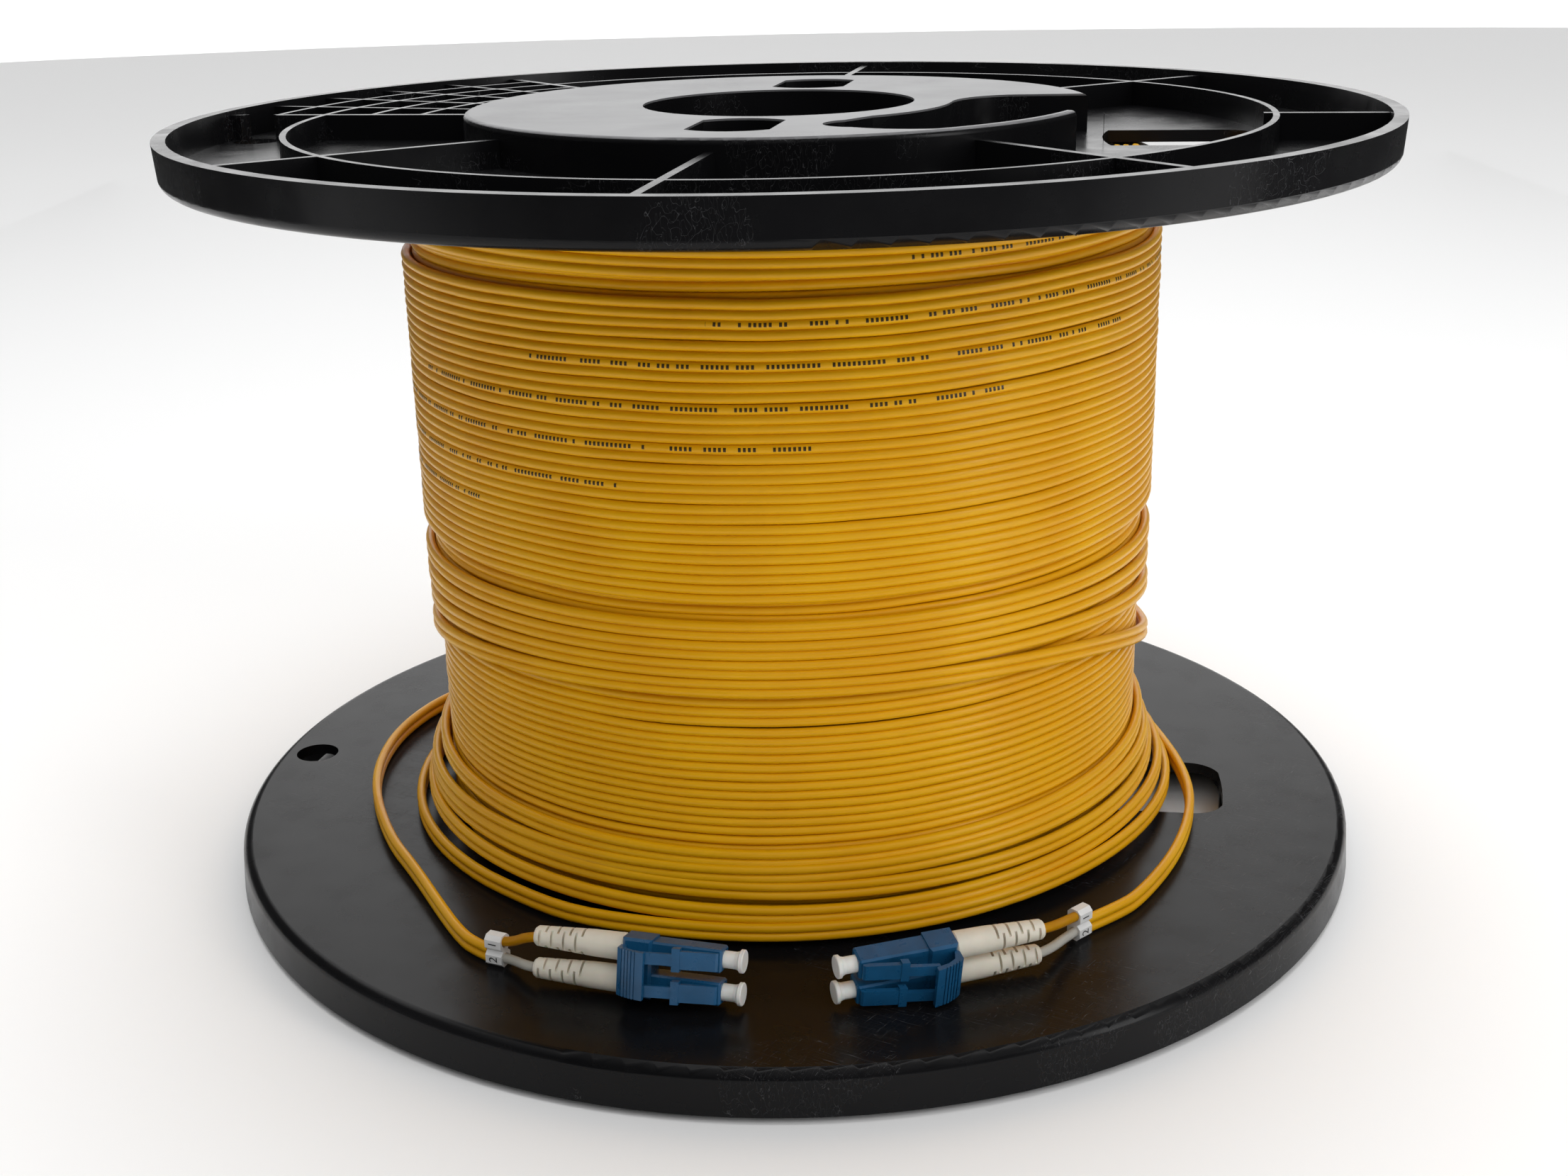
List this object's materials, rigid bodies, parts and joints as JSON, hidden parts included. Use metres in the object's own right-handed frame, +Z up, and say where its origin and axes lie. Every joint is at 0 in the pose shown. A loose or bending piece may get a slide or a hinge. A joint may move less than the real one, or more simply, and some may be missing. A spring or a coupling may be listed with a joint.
{
  "type": "cable reel with duplex fibre cord",
  "caption": "Black plastic flanged cable reel wound with yellow duplex fibre-optic cord, its two duplex connector ends with dust caps resting on the lower flange.",
  "frame": {"origin": "centre of the lower hub boss's outer face, on the reel's axis", "axes": "+Z up along the reel's axis towards the upper flange, -Y towards the connector ends"},
  "size_m": [0.254, 0.254, 0.1646],
  "materials": {
    "flange_plastic": "black injection-moulded polystyrene, satin",
    "cord_jacket": "warm yellow cord jacket, semi-gloss",
    "leg_jacket_yellow": "yellow leg jacket, semi-gloss",
    "leg_jacket_white": "white leg jacket, semi-gloss",
    "marker_sleeve": "white marker sleeve",
    "boot_ivory": "ivory soft boot, satin",
    "plug_blue": "blue plug plastic, satin",
    "cap_white": "white dust cap, translucent satin",
    "crimp_metal": "nickel-plated brass",
    "spring_steel": "stainless spring wire",
    "ferrule_ceramic": "zirconia, polished"
  },
  "bodies": {
    "reel": {"upper_flange": "flange_plastic", "lower_flange": "flange_plastic", "barrel": "flange_plastic", "inner_pack": "cord_jacket", "last_layer": "cord_jacket", "base_turns": "cord_jacket", "left_tail": "cord_jacket", "right_tail": "cord_jacket", "left_marker_1": "marker_sleeve", "left_leg_1": "leg_jacket_yellow", "left_boot_1": "boot_ivory", "left_crimp_body_1": "crimp_metal", "left_plug_housing_1": "plug_blue", "left_spring_1": "spring_steel", "left_marker_2": "marker_sleeve", "left_leg_2": "leg_jacket_white", "left_boot_2": "boot_ivory", "left_crimp_body_2": "crimp_metal", "left_plug_housing_2": "plug_blue", "left_spring_2": "spring_steel", "left_clip": "plug_blue", "right_marker_1": "marker_sleeve", "right_leg_1": "leg_jacket_yellow", "right_boot_1": "boot_ivory", "right_crimp_body_1": "crimp_metal", "right_plug_housing_1": "plug_blue", "right_spring_1": "spring_steel", "right_marker_2": "marker_sleeve", "right_leg_2": "leg_jacket_white", "right_boot_2": "boot_ivory", "right_crimp_body_2": "crimp_metal", "right_plug_housing_2": "plug_blue", "right_spring_2": "spring_steel", "right_clip": "plug_blue"},
    "left_dust_cap_1_body": {"left_dust_cap_1": "cap_white"},
    "left_latch_1_body": {"left_latch_1": "plug_blue"},
    "left_ferrule_1_body": {"left_ferrule_1": "ferrule_ceramic"},
    "left_dust_cap_2_body": {"left_dust_cap_2": "cap_white"},
    "left_latch_2_body": {"left_latch_2": "plug_blue"},
    "left_ferrule_2_body": {"left_ferrule_2": "ferrule_ceramic"},
    "left_trigger_body": {"left_trigger": "plug_blue"},
    "right_dust_cap_1_body": {"right_dust_cap_1": "cap_white"},
    "right_latch_1_body": {"right_latch_1": "plug_blue"},
    "right_ferrule_1_body": {"right_ferrule_1": "ferrule_ceramic"},
    "right_dust_cap_2_body": {"right_dust_cap_2": "cap_white"},
    "right_latch_2_body": {"right_latch_2": "plug_blue"},
    "right_ferrule_2_body": {"right_ferrule_2": "ferrule_ceramic"},
    "right_trigger_body": {"right_trigger": "plug_blue"}
  },
  "joints": [
    {"name": "left_dust_cap_1_pull", "type": "slide", "parent": "reel", "child": "left_dust_cap_1_body", "axis": [0.9611, -0.276, 0], "range_m": [0, 0.007]},
    {"name": "left_ferrule_1_float", "type": "slide", "parent": "reel", "child": "left_ferrule_1_body", "axis": [-0.9611, 0.276, 0], "range_m": [0, 0.0005], "stiffness_N_per_m": 5000, "springref_m": -0.001},
    {"name": "left_dust_cap_2_pull", "type": "slide", "parent": "reel", "child": "left_dust_cap_2_body", "axis": [0.9611, -0.276, 0], "range_m": [0, 0.007]},
    {"name": "left_ferrule_2_float", "type": "slide", "parent": "reel", "child": "left_ferrule_2_body", "axis": [-0.9611, 0.276, 0], "range_m": [0, 0.0005], "stiffness_N_per_m": 5000, "springref_m": -0.001},
    {"name": "left_trigger_press", "type": "hinge", "parent": "reel", "child": "left_trigger_body", "pos_m": [-0.03255, -0.10165, 0.01749], "axis": [0.067, 0.233, 0.9702], "range_deg": [0, 14], "stiffness_Nm_per_rad": 0.08, "springref_deg": -5.73},
    {"name": "left_latch_1_flex", "type": "hinge", "parent": "reel", "child": "left_latch_1_body", "pos_m": [-0.01517, -0.10473, 0.02025], "axis": [0.067, 0.233, 0.9702], "range_deg": [-6, 0], "stiffness_Nm_per_rad": 0.05, "springref_deg": 5.73},
    {"name": "left_latch_2_flex", "type": "hinge", "parent": "reel", "child": "left_latch_2_body", "pos_m": [-0.01559, -0.10619, 0.01419], "axis": [0.067, 0.233, 0.9702], "range_deg": [-6, 0], "stiffness_Nm_per_rad": 0.05, "springref_deg": 5.73},
    {"name": "right_dust_cap_1_pull", "type": "slide", "parent": "reel", "child": "right_dust_cap_1_body", "axis": [-0.9537, -0.3009, 0], "range_m": [0, 0.007]},
    {"name": "right_ferrule_1_float", "type": "slide", "parent": "reel", "child": "right_ferrule_1_body", "axis": [0.9537, 0.3009, 0], "range_m": [0, 0.0005], "stiffness_N_per_m": 5000, "springref_m": -0.001},
    {"name": "right_dust_cap_2_pull", "type": "slide", "parent": "reel", "child": "right_dust_cap_2_body", "axis": [-0.9537, -0.3009, 0], "range_m": [0, 0.007]},
    {"name": "right_ferrule_2_float", "type": "slide", "parent": "reel", "child": "right_ferrule_2_body", "axis": [0.9537, 0.3009, 0], "range_m": [0, 0.0005], "stiffness_N_per_m": 5000, "springref_m": -0.001},
    {"name": "right_trigger_press", "type": "hinge", "parent": "reel", "child": "right_trigger_body", "pos_m": [0.0294, -0.10268, 0.01608], "axis": [-0.063, 0.198, -0.9782], "range_deg": [0, 14], "stiffness_Nm_per_rad": 0.08, "springref_deg": -5.73},
    {"name": "right_latch_1_flex", "type": "hinge", "parent": "reel", "child": "right_latch_1_body", "pos_m": [0.01253, -0.10755, 0.01937], "axis": [-0.063, 0.198, -0.9782], "range_deg": [-6, 0], "stiffness_Nm_per_rad": 0.05, "springref_deg": 5.73},
    {"name": "right_latch_2_flex", "type": "hinge", "parent": "reel", "child": "right_latch_2_body", "pos_m": [0.01214, -0.10631, 0.01325], "axis": [-0.063, 0.198, -0.9782], "range_deg": [-6, 0], "stiffness_Nm_per_rad": 0.05, "springref_deg": 5.73}
  ],
  "couplings": [
    {"joint": "left_latch_1_flex", "follows": "left_trigger_press", "ratio": -0.36},
    {"joint": "left_latch_2_flex", "follows": "left_trigger_press", "ratio": -0.36},
    {"joint": "right_latch_1_flex", "follows": "right_trigger_press", "ratio": -0.36},
    {"joint": "right_latch_2_flex", "follows": "right_trigger_press", "ratio": -0.36}
  ]
}
